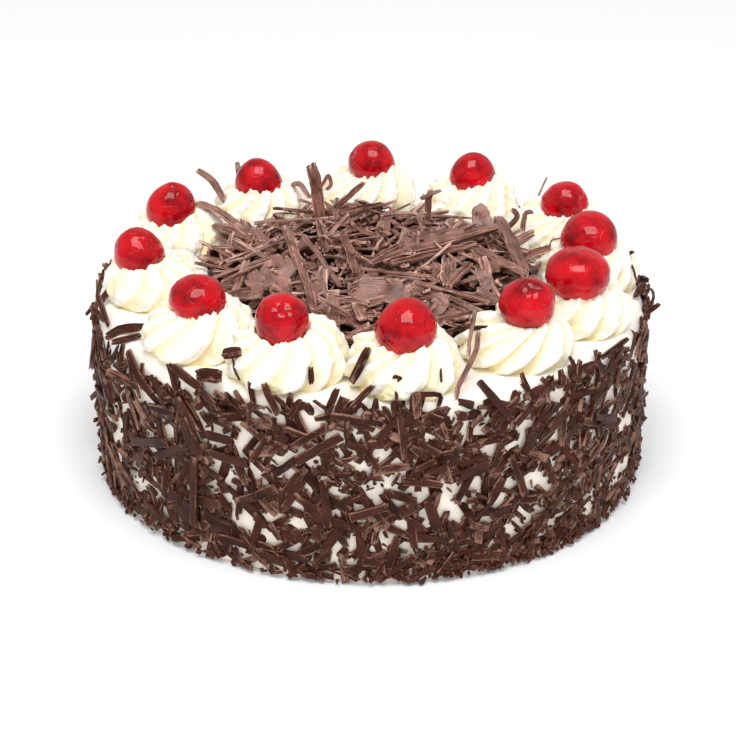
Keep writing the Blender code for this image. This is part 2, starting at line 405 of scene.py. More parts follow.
def make_rosette(index, material):
    """Piped strands that sweep up round a mound to a ragged crest, with a seat for the cherry."""
    rng = np.random.default_rng(200 + index)
    centre = ROSETTE_BOXES[index][2]
    _, _, cherry, cherry_half = CHERRY_BOXES[index]
    cherry_radius = max(cherry_half)
    lean = (cherry - centre)[:2]
    columns = STRANDS * STRAND_STEPS
    around = np.arange(columns) * TURN / columns
    uneven = 0.17 * np.sin(around + rng.uniform(0, TURN)) + 0.13 * np.sin(2 * around + rng.uniform(0, TURN))
    place = (around + uneven) * STRANDS / TURN
    crest = strand_crest(place)
    strand = np.floor(place).astype(int) % STRANDS
    strength = rng.uniform(0.5, 1.3, STRANDS)[strand]
    tooth = rng.uniform(-0.2, 1.0, STRANDS)[strand] * crest**0.5
    start = rng.uniform(0, TURN)
    turn = math.radians(ROSETTE_TURNS[index])
    radius = ROSETTE_RADIUS * rng.uniform(0.97, 1.0)
    high = LIP_HIGH_BEARING + rng.uniform(-0.4, 0.4)
    lip_share = rng.uniform(0.85, 1.1)

    def lip(directions):
        rise = 0.5 + 0.5 * np.cos(directions - high)
        return LIP_LOW + (LIP_HIGH * lip_share - LIP_LOW) * rise**0.8

    def underside(across):
        """Height of the cherry's underside above the cream, this far from its axis."""
        return cherry[2] - CAKE_TOP - np.sqrt(np.maximum((0.96 * cherry_radius) ** 2 - across**2, 0.0))

    rings, shades = [], []
    for row, (share, height, leaning) in enumerate(smooth_line(ROSETTE_PROFILE, ROSETTE_ROWS)):
        up = row / (ROSETTE_ROWS - 1)
        directions = start + around + turn * up**0.75
        depth = STRAND_DEPTH * RIDGE_SHARES[index] * strength * min(1.0, 0.7 + 3 * up) * (1 - 0.75 * up**2)
        across = share * rosette_reach(index, directions, radius) - depth * (1 - crest)
        level = height * lip(directions) + TOOTH * tooth * up**2 - 0.55 * depth * (1 - crest) * up
        hug = min(1.0, max(0.0, 4 * leaning - 3))
        level += hug * np.clip(underside(across) - 0.3 * MM - level, 0.0, 3.0 * MM)
        ring = np.stack([across * np.cos(directions), across * np.sin(directions), level], axis=-1)
        ring[:, :2] += leaning * lean
        rings.append(ring)
        # Painted shade: yellower in the folds between the strands and round the foot.
        shades.append((1 - crest) ** 1.5 * 0.9 * (1 - 0.5 * up) + 0.9 * math.exp(-((up / 0.14) ** 2)))
    for share in SEAT_SHARES:
        inner = share * across
        height = np.minimum(underside(inner) + 0.5 * MM, level - 0.4 * MM)
        ring = np.stack([inner * np.cos(directions), inner * np.sin(directions), height], axis=-1)
        ring[:, :2] += lean
        rings.append(ring)
        # Painted shade in the seat under the cherry.
        shades.append(np.full(columns, 0.5))
    rings = np.array(rings)
    rows = len(rings)
    unrolled = np.zeros((rows, columns, 3))
    unrolled[..., 0] = ROSETTE_RADIUS * np.cos(around) * 0.9
    unrolled[..., 1] = ROSETTE_RADIUS * np.sin(around) * 0.9
    unrolled[..., 2] = np.arange(rows)[:, None] * 0.14 * MM
    lines = waves(unrolled, 2.2 * MM, 300 + index) * 0.16 * MM
    lumps = waves(rings, 12 * MM, 310 + index) * 0.55 * MM + waves(rings, 5.5 * MM, 320 + index) * 0.35 * MM
    lumps = lumps * (1.9 - RIDGE_SHARES[index]) + waves(rings, 2.4 * MM, 340 + index) * 0.13 * MM
    ragged = np.zeros((rows, 1))
    ragged[ROSETTE_ROWS - TORN_ROWS:ROSETTE_ROWS, 0] = np.linspace(0, 1, TORN_ROWS)
    scallops = np.abs(waves(rings * (1, 1, 0), 7.0 * MM, 360 + index)) ** 0.8 - 0.6
    torn = scallops * 1.3 * MM * ragged
    frills = waves(rings, 1.9 * MM, 380 + index) * np.clip(waves(rings, 9 * MM, 400 + index) + 0.3, 0, 1)
    torn += 0.6 * MM * frills * ragged**0.5
    edge = np.exp(-((((place - np.floor(place)) - 0.82) / 0.16) ** 2))
    torn += 0.45 * MM * (1.6 - RIDGE_SHARES[index]) * waves(rings, 2.6 * MM, 430 + index) * edge
    outward = unit(rings * (1, 1, 0.0) + (0, 0, 1e-6))
    rings += outward * (lines + lumps + 0.5 * torn)[..., None]
    rings[..., 2] += torn + 0.4 * lumps
    rings += (centre[0], centre[1], CAKE_TOP)
    piece = add_skin(f"piped_cream_{index + 1:02d}", rings, [material])
    add_shade(piece, shades, 0.7)
    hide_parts(ROSETTE_NODES[index])


# ---------------------------------------------------------------- cherries

# Each cherry's width and height as shares of its box, how much wider it is above than below, how wrinkled
# it is, and the way its stem dimple faces
CHERRY_SHAPES = (
    (1.09, 1.17, -0.06, 2.2, (0.7, -0.5, 0.6)),
    (1.06, 1.17, -0.10, 0.9, (0.2, -0.3, 1.0)),
    (1.06, 1.05, -0.16, 0.6, (-0.6, 0.6, 0.5)),
    (1.08, 1.08, -0.08, 0.6, (-0.8, -0.2, 0.4)),
    (1.04, 1.04, -0.14, 0.4, (0.5, 0.8, 0.5)),
    (1.02, 1.06, -0.02, 1.3, (0.8, -0.6, 0.4)),
    (1.07, 1.00, 0.02, 0.4, (0.9, 0.4, 0.3)),
    (1.13, 0.88, 0.04, 1.3, (-0.2, 0.3, 1.0)),
    (1.05, 0.97, -0.04, 1.3, (0.1, -0.5, 0.85)),
    (1.02, 1.00, -0.13, 1.3, (0.8, -0.5, 0.55)),
    (1.02, 1.18, 0.22, 1.4, (0.1, -0.5, 0.75)),
    (1.10, 0.95, 0.00, 1.5, (0.95, -0.3, 0.2)),
)


CHERRY_ROWS, CHERRY_COLUMNS = 58, 84


def make_cherry(index, material):
    """A glace cherry with a puckered stem dimple, soft facets and wrinkles."""
    _, _, centre, half = CHERRY_BOXES[index]
    wide, tall, flare, wrinkled, stem = CHERRY_SHAPES[index]
    heights = np.linspace(-math.pi / 2, math.pi / 2, CHERRY_ROWS + 2)[1:-1, None]
    around = np.arange(CHERRY_COLUMNS)[None] * TURN / CHERRY_COLUMNS
    level = np.sin(heights) * np.ones_like(around)
    ways = np.stack([np.cos(heights) * np.cos(around), np.cos(heights) * np.sin(around), level], axis=-1)
    stem = np.array(stem) / np.linalg.norm(stem)
    away = np.arccos(np.clip(ways @ stem, -1, 1))
    side = unit(np.cross(stem, (1.0, 0.2, 0.0)))
    round_stem = np.arctan2(ways @ np.cross(stem, side), ways @ side)
    pucker = np.abs(np.sin(2.5 * round_stem + index)) ** 0.7
    size = 1 - 0.10 * np.exp(-((away / 0.20) ** 2))
    size -= 0.035 * (1 - pucker) * np.exp(-((away / 0.55) ** 2)) * wrinkled
    size += 0.05 * waves(ways, 2.4, 420 + index)
    size -= 0.016 * wrinkled * np.abs(waves(ways, 1.1, 440 + index)) ** 0.8
    size -= 0.005 * wrinkled * np.abs(waves(ways, 0.42, 460 + index)) ** 0.8
    shaped = ways * size[..., None]
    shaped[..., :2] *= (1 + flare * shaped[..., 2:])
    low, high = shaped.min(axis=(0, 1)), shaped.max(axis=(0, 1))
    shaped = centre + (shaped - 0.5 * (low + high)) / (0.5 * (high - low)) * half * (wide, wide, tall)
    piece = add_skin(f"glace_cherry_{index + 1:02d}", shaped, [material])
    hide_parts(CHERRY_NODES[index])


# ---------------------------------------------------------------- chocolate

UP = np.array([0.0, 0.0, 1.0])
BARK_SHARE = 0.12
END_SLANT = 0.38
END_JAG = 0.32


def soft_noise(rng, shape):
    """Random values of about -1 to 1 that change gently along their last axis."""
    raw = rng.normal(size=(*shape[:-1], shape[-1] + 2)).clip(-2, 2)
    return 0.35 * raw[..., :-2] + 0.5 * raw[..., 1:-1] + 0.35 * raw[..., 2:]


def broken_sections(rng, corners, count, jitter, bark=BARK_SHARE):
    """Copies of a cross-section of corners given as across, up and how pale, the paleness standing for wear and
    painted highlight; uneven, and each paled to its own degree.
    """
    sections = np.tile(np.array(corners), (count, 1, 1))
    sections[..., :2] += jitter * rng.normal(size=(count, len(corners), 2))
    sections[..., 2] *= rng.uniform(0.2, 1.5, (count, len(corners))) * rng.uniform(0, 1.15, (count, 1))
    sections[..., 2] += np.where(rng.uniform(size=(count, 1)) < bark, 0.42, 0.0)
    return sections


def bar_section(rng, count, bark=BARK_SHARE):
    """Cross-sections of blunt bars with bevelled edges."""
    # The third number of each corner pales it: wear on broken edges, and painted highlight on the upper bevels that
    # catch the light, more than on the underside.
    corners = (
        (-0.5, -0.2, 0.3), (-0.35, -0.5, 0.1), (0.35, -0.5, 0.1), (0.5, -0.2, 0.3), (0.5, 0.2, 0.7),
        (0.42, 0.46, 0.8), (0.31, 0.5, 0.0), (-0.31, 0.5, 0.0), (-0.42, 0.46, 0.8), (-0.5, 0.2, 0.7),
    )
    return broken_sections(rng, corners, count, 0.045, bark)


def block_section(rng, count):
    """Cross-sections of small blunt flakes."""
    corners = (
        (-0.5, -0.35, 0.3), (-0.35, -0.5, 0.1), (0.35, -0.5, 0.1), (0.5, -0.35, 0.3),
        (0.5, 0.3, 0.7), (0.38, 0.5, 0.4), (-0.38, 0.5, 0.4), (-0.5, 0.3, 0.7),
    )
    return broken_sections(rng, corners, count, 0.06)


def chip_section(rng, count):
    """Cross-sections of small broken bits."""
    corners = (
        (-0.5, -0.3, 0.4), (0.0, -0.5, 0.1), (0.5, -0.3, 0.4), (0.45, 0.35, 0.7), (0.0, 0.5, 0.2), (-0.45, 0.35, 0.7),
    )
    return broken_sections(rng, corners, count, 0.10)


def shaving_section(rng, count, steps, relief):
    """Cross-sections of shavings with grooves along the face and torn edges."""
    across = np.linspace(0.5, -0.5, steps) + 0.3 / steps * rng.normal(size=(count, steps)).clip(-1, 1)
    across[:, 0], across[:, -1] = 0.5, -0.5
    ridge = rng.uniform(-1, 1, (count, steps))
    top = 0.35 + relief * ridge
    rough = min(1.0, 0.1 + 3.5 * relief)
    # Paler on the ridge crests than in the grooves: painted light on the crests and painted shade in the grooves,
    # with wear on the torn edges.
    worn = np.clip(0.15 + 0.45 * ridge, 0.0, 0.6) * rng.uniform(0.4, 1.0, (count, 1)) * rough
    worn[:, 0], worn[:, -1] = rng.uniform(0.1, 0.9, (2, count)) * (0.35 + 0.65 * rough)
    face = np.stack([across, top, worn], axis=-1)
    under = np.array([(-0.46, -0.5, 0.5), (0.0, -0.5, 0.2), (0.46, -0.5, 0.5)])
    return np.concatenate([np.tile(under, (count, 1, 1)), face], axis=1)


class Chips:
    """Swept bits of chocolate gathered into one mesh, each with its own grain and with edges paled for wear and
    painted highlight.
    """

    def __init__(self, seed):
        self.rng = np.random.default_rng(seed)
        self.points, self.worn, self.grain, self.faces = [], [], [], []
        self.total = 0

    def sweep(self, lines, facing, widths, thicks, sections):
        """Sweep sections (N, K, 3) along lines (N, S, 3), with their tops toward facing (N, S, 3)."""
        count, stations = lines.shape[:2]
        ring = sections.shape[1]
        along = unit(np.gradient(lines, axis=1))
        across = unit(np.cross(facing, along))
        out = np.cross(along, across)
        y = sections[:, None, :, 0] * widths[..., None]
        z = (sections[:, None, :, 1] + 0.05 * self.rng.normal(size=(count, stations, ring))) * thicks[..., None]
        push = np.zeros((count, stations, ring))
        lean = self.rng.uniform(-END_SLANT, END_SLANT, (count, 2, 1))
        broken = END_JAG * thicks.mean(axis=1)[:, None, None] * self.rng.normal(size=(count, 2, ring)).clip(-1.5, 1.5)
        push[:, 0] = lean[:, 0] * y[:, 0] + broken[:, 0]
        push[:, -1] = lean[:, 1] * y[:, -1] + broken[:, 1]
        points = lines[:, :, None] + push[..., None] * along[:, :, None]
        points = points + y[..., None] * across[:, :, None] + z[..., None] * out[:, :, None]
        worn = sections[:, None, :, 2] + 0.2 * self.rng.normal(size=(count, stations, ring))
        worn[:, 0] += 0.35
        worn[:, -1] += 0.35
        travel = np.linalg.norm(np.diff(lines, axis=1), axis=-1)
        travel = np.concatenate([np.zeros((count, 1)), np.cumsum(travel, axis=1)], axis=1) / MM
        start = self.rng.uniform(0, 900, (count, 1, 1))
        grain = np.stack(np.broadcast_arrays(travel[..., None] + start, y / MM + start, start), axis=-1)
        first = self.total + np.arange(count)[:, None, None] * stations * ring
        row = first + np.arange(stations - 1)[None, :, None] * ring
        k = np.arange(ring)[None, None, :]
        after = (k + 1) % ring
        quads = np.stack([row + k, row + after, row + ring + after, row + ring + k], axis=-1)
        self.faces += quads.reshape(-1, 4).tolist()
        caps = first[:, 0] + np.arange(ring)
        self.faces += caps[:, ::-1].tolist()
        self.faces += (caps + (stations - 1) * ring).tolist()
        self.points.append(points.reshape(-1, 3))
        self.worn.append(worn.ravel().clip(0, 1))
        self.grain.append(grain.reshape(-1, 3))
        self.total += count * stations * ring

    def scatter(self, place, along, face, shape, stations, sections, outline):
        """Sweep sections along arcs through the places, which curl toward their faces."""
        count = len(place)
        across = unit(np.cross(face, along))
        u = np.linspace(-0.5, 0.5, stations)[None]
        s = u * shape["length"][:, None]
        curl = shape["curl"][:, None] + 0.01
        x, z = np.sin(curl * s) / curl, (1 - np.cos(curl * s)) / curl
        y = 0.5 * shape["bend"][:, None] * s**2 + 0.10 * shape["width"][:, None] * soft_noise(self.rng, s.shape)
        lines = place[:, None] + x[..., None] * along[:, None] + y[..., None] * across[:, None] + z[..., None] * face[:, None]
        roll = (shape["twist"][:, None] * u)[..., None]
        facing = face[:, None] * np.cos(roll) + across[:, None] * np.sin(roll)
        widths = shape["width"][:, None] * outline(u, shape["taper"][:, None]) * (1 + 0.16 * soft_noise(self.rng, s.shape))
        thicks = shape["thick"][:, None] * (1 + 0.2 * soft_noise(self.rng, s.shape))
        self.sweep(lines, facing, widths, thicks, sections)

    def build(self, name, material):
        piece = add_piece(name, np.concatenate(self.points), self.faces, [material])
        piece.data.set_sharp_from_angle(angle=math.radians(33))
        worn = piece.data.attributes.new("worn", "FLOAT", "POINT")
        worn.data.foreach_set("value", np.concatenate(self.worn).astype(np.float32))
        grain = piece.data.attributes.new("grain", "FLOAT_VECTOR", "POINT")
        grain.data.foreach_set("vector", np.concatenate(self.grain).astype(np.float32).ravel())
        return piece


def blunt(u, taper):
    return 1 - taper * np.abs(2 * u) ** 4


def leaf(u, taper):
    return np.clip(1.25 - 1.15 * np.abs(2 * u) ** (1.5 + taper), 0.12, 1)


def sizes(rng, count, length, width, thick, curl=0.0, bend=0.0, twist=0.0, taper=0.3):
    """Random bit sizes between the low and high lengths, widths and thicknesses, given in mm."""
    return {
        "length": (rng.beta(1.5, 2.0, count) * (length[1] - length[0]) + length[0]) * MM,
        "width": rng.uniform(*width, count) * MM,
        "thick": rng.uniform(*thick, count) * MM,
        "curl": rng.normal(size=count) * curl,
        "bend": rng.normal(size=count) * bend,
        "twist": rng.normal(size=count) * twist,
        "taper": rng.uniform(0, taper, count),
    }


def in_plane(face, level, spin):
    """Directions across the faces, turned by spin from level."""
    flat = unit(level - face * np.sum(level * face, axis=-1, keepdims=True))
    return flat * np.cos(spin)[:, None] + np.cross(face, flat) * np.sin(spin)[:, None]


def wall_places(bearings, heights, radius):
    out = np.stack([np.cos(bearings), np.sin(bearings), np.zeros_like(bearings)], axis=-1)
    beside = np.cross(UP, out)
    return out * radius[:, None] + UP * heights[:, None], out, beside


def coat_top(bearings):
    """Height that the flakes reach: the cream's shoulder stays nearly bare at the front left."""
    away = np.angle(np.exp(1j * (bearings - BARE_BEARING))) / BARE_WIDTH
    uneven = 1.2 * MM * np.sin(7 * bearings + 1.0) + 0.8 * MM * np.sin(17 * bearings)
    return CAKE_TOP - 1.5 * MM - BARE_DEPTH * np.exp(-(away**2)) + uneven


BARE_BEARING = math.radians(207)
BARE_WIDTH = math.radians(27)
BARE_DEPTH = 8.5 * MM


def clumped(rng, count, thin):
    """Bearings and heights on the side, fewer where a slow noise is low."""
    tries = 3 * count
    bearings = rng.uniform(0, TURN, tries)
    heights = rng.uniform(-0.03, 1.0, tries) * CAKE_TOP
    places, _, _ = wall_places(bearings, heights, np.full(tries, CAKE_RADIUS))
    dense = 0.72 + 0.22 * waves(places, 9 * MM, 41) + 0.18 * waves(places, 4.5 * MM, 42)
    bare = np.exp(-((np.angle(np.exp(1j * (bearings - BARE_BEARING))) / BARE_WIDTH) ** 2))
    dense -= 0.27 * np.cos(bearings) ** 4 + 0.30 * bare * np.clip(2 * heights / CAKE_TOP - 0.9, 0, 1)
    kept = np.flatnonzero(rng.uniform(size=tries) < np.clip(dense, thin, 1.0))[:count]
    return bearings[kept], heights[kept]


# Where the cream shows between the flakes: bearing in degrees, height above the floor and radius in mm.
# The same gaps come back, filled and crossed in other ways, at each of the turns round the cake.
GAPS = (
    (209, 36, 6), (212, 52, 6), (214, 68, 4), (220, 65, 7), (218, 20, 6), (226, 16, 6), (222, 40, 6),
    (228, 52, 4), (232, 30, 5), (234, 60, 4), (240, 54, 6), (240, 42, 5), (242, 32, 6), (238, 69, 4),
    (243, 70, 4), (246, 60, 6), (248, 46, 6), (252, 52, 5), (245, 22, 5), (248, 19, 5), (251, 16, 5),
    (251, 27, 5), (256, 26, 6), (258, 57, 4), (262, 44, 6), (264, 66, 6), (264, 33, 4), (269, 53, 3),
    (271, 42, 6), (267, 21, 4), (273, 17, 3), (275, 27, 4), (278, 16, 4), (277, 45, 3), (278, 70, 3),
    (281, 29, 4), (283, 52, 3), (287, 31, 4), (290, 66, 4), (291, 39, 3), (296, 38, 4), (298, 50, 4),
    (298, 18, 4), (302, 40, 4), (302, 35, 4), (300, 63, 4), (309, 16, 4), (308, 54, 4), (311, 34, 4),
    (316, 66, 4), (319, 57, 4), (324, 20, 5), (325, 40, 5), (330, 30, 6), (330, 48, 5), (331, 64, 6),
    (334, 73, 4),
)
GAP_TURNS = (0, 112, 236)
GAP_OPEN = 0.58


def clear_of_gaps(place, along, shape):
    """Which bits leave the gaps open, going by five points on each."""
    clear = np.ones(len(place), dtype=bool)
    for bearing, height, radius in GAPS:
        for turn in GAP_TURNS:
            angle = math.radians(bearing + turn)
            out = np.array([math.cos(angle), math.sin(angle), 0.0])
            centre = out * (CAKE_RADIUS + 1.5 * MM) + UP * height * MM
            for share in (-0.45, -0.23, 0.0, 0.23, 0.45):
                away = np.linalg.norm(place + along * shape["length"][:, None] * share - centre, axis=1)
                clear &= away > GAP_OPEN * radius * MM
    return clear


def side_batch(chips, rng, shape, tilt, loose, stand_off, stations, sections, stray=0.04):
    """Bits pressed on the side, steeper away from the front, the loose share of them standing off it."""
    count = len(shape["length"])
    bearings, heights = clumped(rng, count, 0.25)
    spin = rng.uniform(-math.pi / 2, math.pi / 2, count)
    steered = rng.uniform(size=count) < 0.6 * np.abs(np.cos(bearings))
    spin[steered] = (0.95 * np.cos(bearings) + 0.45 * rng.normal(size=count))[steered]
    reach = 0.5 * shape["length"] * np.abs(np.sin(spin)) + 0.5 * shape["width"] * np.abs(np.cos(spin))
    low, high = COAT_LOW[2] + 0.3 * MM + reach, coat_top(bearings) - 0.7 * reach
    heights = low + (high - low) * np.clip(heights / CAKE_TOP, 0, 1)
    off = rng.beta(1.2, 2.2, count) * stand_off
    place, out, beside = wall_places(bearings, heights, CAKE_RADIUS + 0.2 * MM + off)
    lean = rng.normal(size=(count, 2)) * tilt
    lean[rng.uniform(size=count) < loose] *= 3.2
    face = unit(out + beside * lean[:, :1] + UP * lean[:, 1:])
    along = in_plane(face, beside, spin)
    clear = clear_of_gaps(place, along, shape) | (rng.uniform(size=count) < stray)
    shape = {key: values[clear] for key, values in shape.items()}
    chips.scatter(
        place[clear], along[clear], face[clear], shape, stations, sections(rng, clear.sum()), blunt
    )


# The conspicuous flakes on the side: bearing in degrees and height above the floor in mm at each end,
# width in mm and how far they stand off the cream in mm.
SIDE_BARS = (
    ((232.8, 63.0), (236.7, 46.6), 5.4, 4.2),
    ((235.6, 47.7), (234.7, 15.8), 3.8, 4.4),
    ((216.7, 39.6), (227.9, 48.0), 4.4, 3.2),
    ((225.0, 39.6), (233.0, 49.9), 3.6, 3.8),
    ((238.5, 59.0), (244.2, 59.1), 3.2, 3.8),
    ((238.8, 50.7), (247.3, 50.5), 3.4, 3.4),
    ((231.5, 70.8), (235.6, 59.3), 4.8, 3.6),
    ((245.5, 32.5), (252.3, 41.5), 4.2, 3.4),
    ((227.9, 22.5), (234.7, 16.7), 10.0, 2.2),
    ((236.2, 19.2), (242.6, 16.1), 8.0, 2.4),
    ((289.7, 88.0), (295.8, 70.9), 3.0, 3.8),
    ((286.7, 48.2), (292.4, 51.4), 4.4, 3.4),
    ((296.8, 51.9), (300.2, 33.8), 3.2, 3.4),
    ((317.6, 57.2), (324.9, 49.1), 3.4, 3.6),
    ((256.7, 55.4), (264.7, 67.5), 3.8, 3.6),
    ((266.5, 31.9), (273.2, 37.0), 4.0, 3.4),
    ((261.5, 46.9), (262.4, 27.3), 3.2, 3.6),
    ((280.7, 38.3), (282.9, 23.7), 4.2, 3.2),
)


def lay_on_side(chips, rows, stations=7):
    """Sweep the listed flakes along the side, their faces outward."""
    for start, end, width, off in rows:
        ends = smooth_line((start, end), stations)
        radius = np.full(stations, CAKE_RADIUS + off * MM)
        path, out, _ = wall_places(np.radians(ends[:, 0]), ends[:, 1] * MM, radius)
        widths = width * MM * (1 + 0.12 * soft_noise(chips.rng, (stations,)))
        thicks = 1.6 * MM * (1 + 0.15 * soft_noise(chips.rng, (stations,)))
        chips.sweep(path[None], out[None], widths[None], thicks[None], bar_section(chips.rng, 1, 0.0))


def make_side_flakes(material):
    rng = np.random.default_rng(500)
    chips = Chips(501)
    large = sizes(rng, 1600, (7, 20), (2.0, 4.0), (1.0, 1.9), 4.0, 6.0, 0.25)
    side_batch(chips, rng, large, 0.17, 0.08, 2.5 * MM, 4, bar_section)
    largest = sizes(rng, 110, (14, 25), (2.4, 4.2), (1.1, 1.9), 4.0, 8.0, 0.4)
    side_batch(chips, rng, largest, 0.15, 0.2, 3.4 * MM, 6, bar_section)
    lay_on_side(chips, SIDE_BARS)
    piece = chips.build("side_flakes", material)
    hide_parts("flake_coat")


def make_small_side_flakes(material):
    rng = np.random.default_rng(505)
    chips = Chips(506)
    small = sizes(rng, 1820, (3.0, 10), (1.6, 3.2), (0.8, 1.6), 5.0, 6.0, 0.2)
    side_batch(chips, rng, small, 0.22, 0.08, 2.4 * MM, 3, block_section)
    piece = chips.build("small_side_flakes", material)


def make_side_crumbs(material):
    rng = np.random.default_rng(510)
    chips = Chips(511)
    crumbs = sizes(rng, 1400, (0.8, 4.5), (0.6, 1.6), (0.5, 1.2))
    side_batch(chips, rng, crumbs, 0.5, 0.0, 2.2 * MM, 3, chip_section, stray=0.4)
    piece = chips.build("side_crumbs", material)


CRUMBLY_BEARING = math.radians(297)
CRUMBLY_WIDTH = math.radians(17)


def make_foot_crumbs(material):
    """Loose crumbs round the foot, most of them at the front right."""
    rng = np.random.default_rng(515)
    chips = Chips(516)
    count = 750
    shape = sizes(rng, count, (0.8, 3.0), (0.8, 2.0), (0.7, 1.5))
    bearings = rng.uniform(0, TURN, count)
    patch = rng.uniform(size=count) < 0.5
    bearings[patch] = (CRUMBLY_BEARING + CRUMBLY_WIDTH * rng.normal(size=count))[patch]
    heights = COAT_LOW[2] + 0.7 * MM + np.abs(rng.normal(size=count)) * np.where(patch, 9.0, 3.5) * MM
    place, out, beside = wall_places(bearings, heights, CAKE_RADIUS + rng.uniform(0.6, 3.4, count) * MM)
    face = unit(out + beside * rng.normal(size=(count, 1)) * 0.6 + UP * rng.normal(size=(count, 1)) * 0.6)
    spin = rng.uniform(0, TURN, count)
    chips.scatter(place, in_plane(face, beside, spin), face, shape, 3, chip_section(rng, count), blunt)
    piece = chips.build("foot_crumbs", material)


def make_rim_flakes(material):
    """Flakes that stick up past the rim, lean in over it or lie on the cream's edge."""
    rng = np.random.default_rng(520)
    chips = Chips(521)
    count = 250
    shape = sizes(rng, count, (3.5, 13), (1.4, 3.4), (0.9, 1.6), 8.0, 8.0, 0.3)
    bearings = rng.uniform(0, TURN, count)
    spin = rng.uniform(0, math.pi, count)
    upright = rng.uniform(size=count) < 0.45
    spin[upright] = (math.pi / 2 + 0.55 * rng.normal(size=count))[upright]
    inwards = rng.normal(size=count) * 0.35 + 0.35
    heights = coat_top(bearings) + (rng.uniform(-3.5, 1.5, count) + np.where(upright, 0.0, -1.5)) * MM
    place, out, beside = wall_places(bearings, heights, CAKE_RADIUS + (2.2 - 4.0 * np.clip(inwards, 0, 0.8)) * MM)
    face = unit(out + UP * inwards[:, None] + beside * rng.normal(size=(count, 1)) * 0.25)
    chips.scatter(place, in_plane(face, beside, spin), face, shape, 5, bar_section(rng, count), blunt)
    lay(chips, RIM_BARS, 6, 1.5, 7, 0.22, blunt, 0.3)
    lay(chips, RIM_CURLS, 12, 0.9, 4, 0.1, blunt, 0.5)
    piece = chips.build("rim_flakes", material)


HEAP_REACH = 77 * MM


def heap_height(x, y):
    """Height of the heap above the cream: flat in the middle, with a steep uneven edge."""
    far = np.hypot(x, y) / HEAP_REACH
    spot = np.stack([x, y, np.zeros_like(x)], axis=-1)
    flat = 13.0 * MM + 1.6 * MM * waves(spot, 42 * MM, 31) + 0.9 * MM * waves(spot, 17 * MM, 32)
    return flat * np.clip(1.15 - far**6, 0.0, 1.0)


def make_heap_core(material):
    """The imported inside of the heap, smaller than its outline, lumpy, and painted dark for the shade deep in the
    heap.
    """
    columns, rows = 120, 40
    bearings = np.arange(columns) * TURN / columns
    rings = []
    for share in np.linspace(1.0, 0.02, rows):
        across = share * (HEAP_REACH - 3 * MM)
        x, y = across * np.cos(bearings), across * np.sin(bearings)
        height = np.clip(heap_height(x, y) - 9.5 * MM, 0.0, None) * min(1.0, 12 * (1.0 - share))
        rings.append(np.stack([x, y, CAKE_TOP - 0.3 * MM + height], axis=-1))
    rings = np.array(rings)
    rings[1:, :, 2] += 1.1 * MM * waves(rings[1:] * (1, 1, 0), 5 * MM, 33)
    bottom = rings[0].copy()
    bottom[:, 2] -= 0.5 * MM
    rings = np.concatenate([[bottom], rings])
    rings[..., 2] = np.maximum(rings[..., 2], CAKE_TOP - 0.9 * MM)
    piece = add_skin("heap_core", rings, [material])
    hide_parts("shavings_heap")


def heap_batch(chips, rng, count, shape, tilt, depth, stations, sections, outline):
    """Bits laid across the heap, the long ones flatter and all of them kept inside its edge."""
    bearings = rng.uniform(0, TURN, count)
    far = np.sqrt(rng.uniform(0, 1, count))
    spin = rng.uniform(0, TURN, count)
    outward = np.abs(np.cos(spin - bearings)) * 0.5 * shape["length"]
    far = np.minimum(far * HEAP_REACH, HEAP_REACH - outward)
    x, y = far * np.cos(bearings), far * np.sin(bearings)
    heights = CAKE_TOP + np.maximum(heap_height(x, y) + rng.uniform(*depth, count) * MM, 1.0 * MM)
    flatter = np.clip(15 * MM / shape["length"], 0.3, 1.2)
    lean = rng.normal(size=(count, 2)) * tilt * flatter[:, None]
    face = unit(np.stack([lean[:, 0], lean[:, 1], np.ones(count)], axis=-1))
    level = np.stack([np.cos(spin), np.sin(spin), np.zeros(count)], axis=-1)
    along = in_plane(face, level, np.zeros(count))
    chips.scatter(np.stack([x, y, heights], axis=-1), along, face, shape, stations, sections, outline)


def make_deep_shavings(material):
    """The lower bed of the heap, painted dark for the shade under the shavings on top, where it shows only as dark
    gaps between them.
    """
    rng = np.random.default_rng(590)
    chips = Chips(591)
    shape = sizes(rng, 300, (10, 28), (2.2, 5.0), (0.9, 1.8), 9.0, 7.0, 0.6)
    heap_batch(chips, rng, 300, shape, 0.5, (-9.0, -3.8), 7, shaving_section(rng, 300, 6, 0.22), blunt)
    piece = chips.build("deep_shavings", material)


def make_shavings(material):
    """The top of the heap: grooved shavings, needles and thin plates lying in every direction."""
    rng = np.random.default_rng(600)
    chips = Chips(601)
    shape = sizes(rng, 250, (11, 34), (2.0, 5.2), (0.8, 1.7), 6.0, 5.0, 0.4)
    heap_batch(chips, rng, 250, shape, 0.65, (-5.0, 1.4), 7, shaving_section(rng, 250, 8, 0.30), blunt)
    shape = sizes(rng, 150, (12, 38), (0.9, 2.0), (0.8, 1.5), 7.0, 6.0, 0.6)
    heap_batch(chips, rng, 150, shape, 0.35, (-2.0, 2.0), 8, chip_section(rng, 150), blunt)
    shape = sizes(rng, 75, (9, 20), (4.5, 8.5), (0.8, 1.3), 5.0, 3.0, 0.3)
    heap_batch(chips, rng, 75, shape, 0.55, (-3.5, 1.0), 9, shaving_section(rng, 75, 7, 0.05), leaf)
    piece = chips.build("heap_shavings", material)


def make_heap_crumbs(material):
    rng = np.random.default_rng(620)
    chips = Chips(621)
    shape = sizes(rng, 220, (1.0, 5.0), (0.8, 2.0), (0.6, 1.4), 8.0, 8.0, 0.5)
    heap_batch(chips, rng, 220, shape, 0.6, (-4.6, -0.7), 3, chip_section(rng, 220), blunt)
    piece = chips.build("heap_crumbs", material)


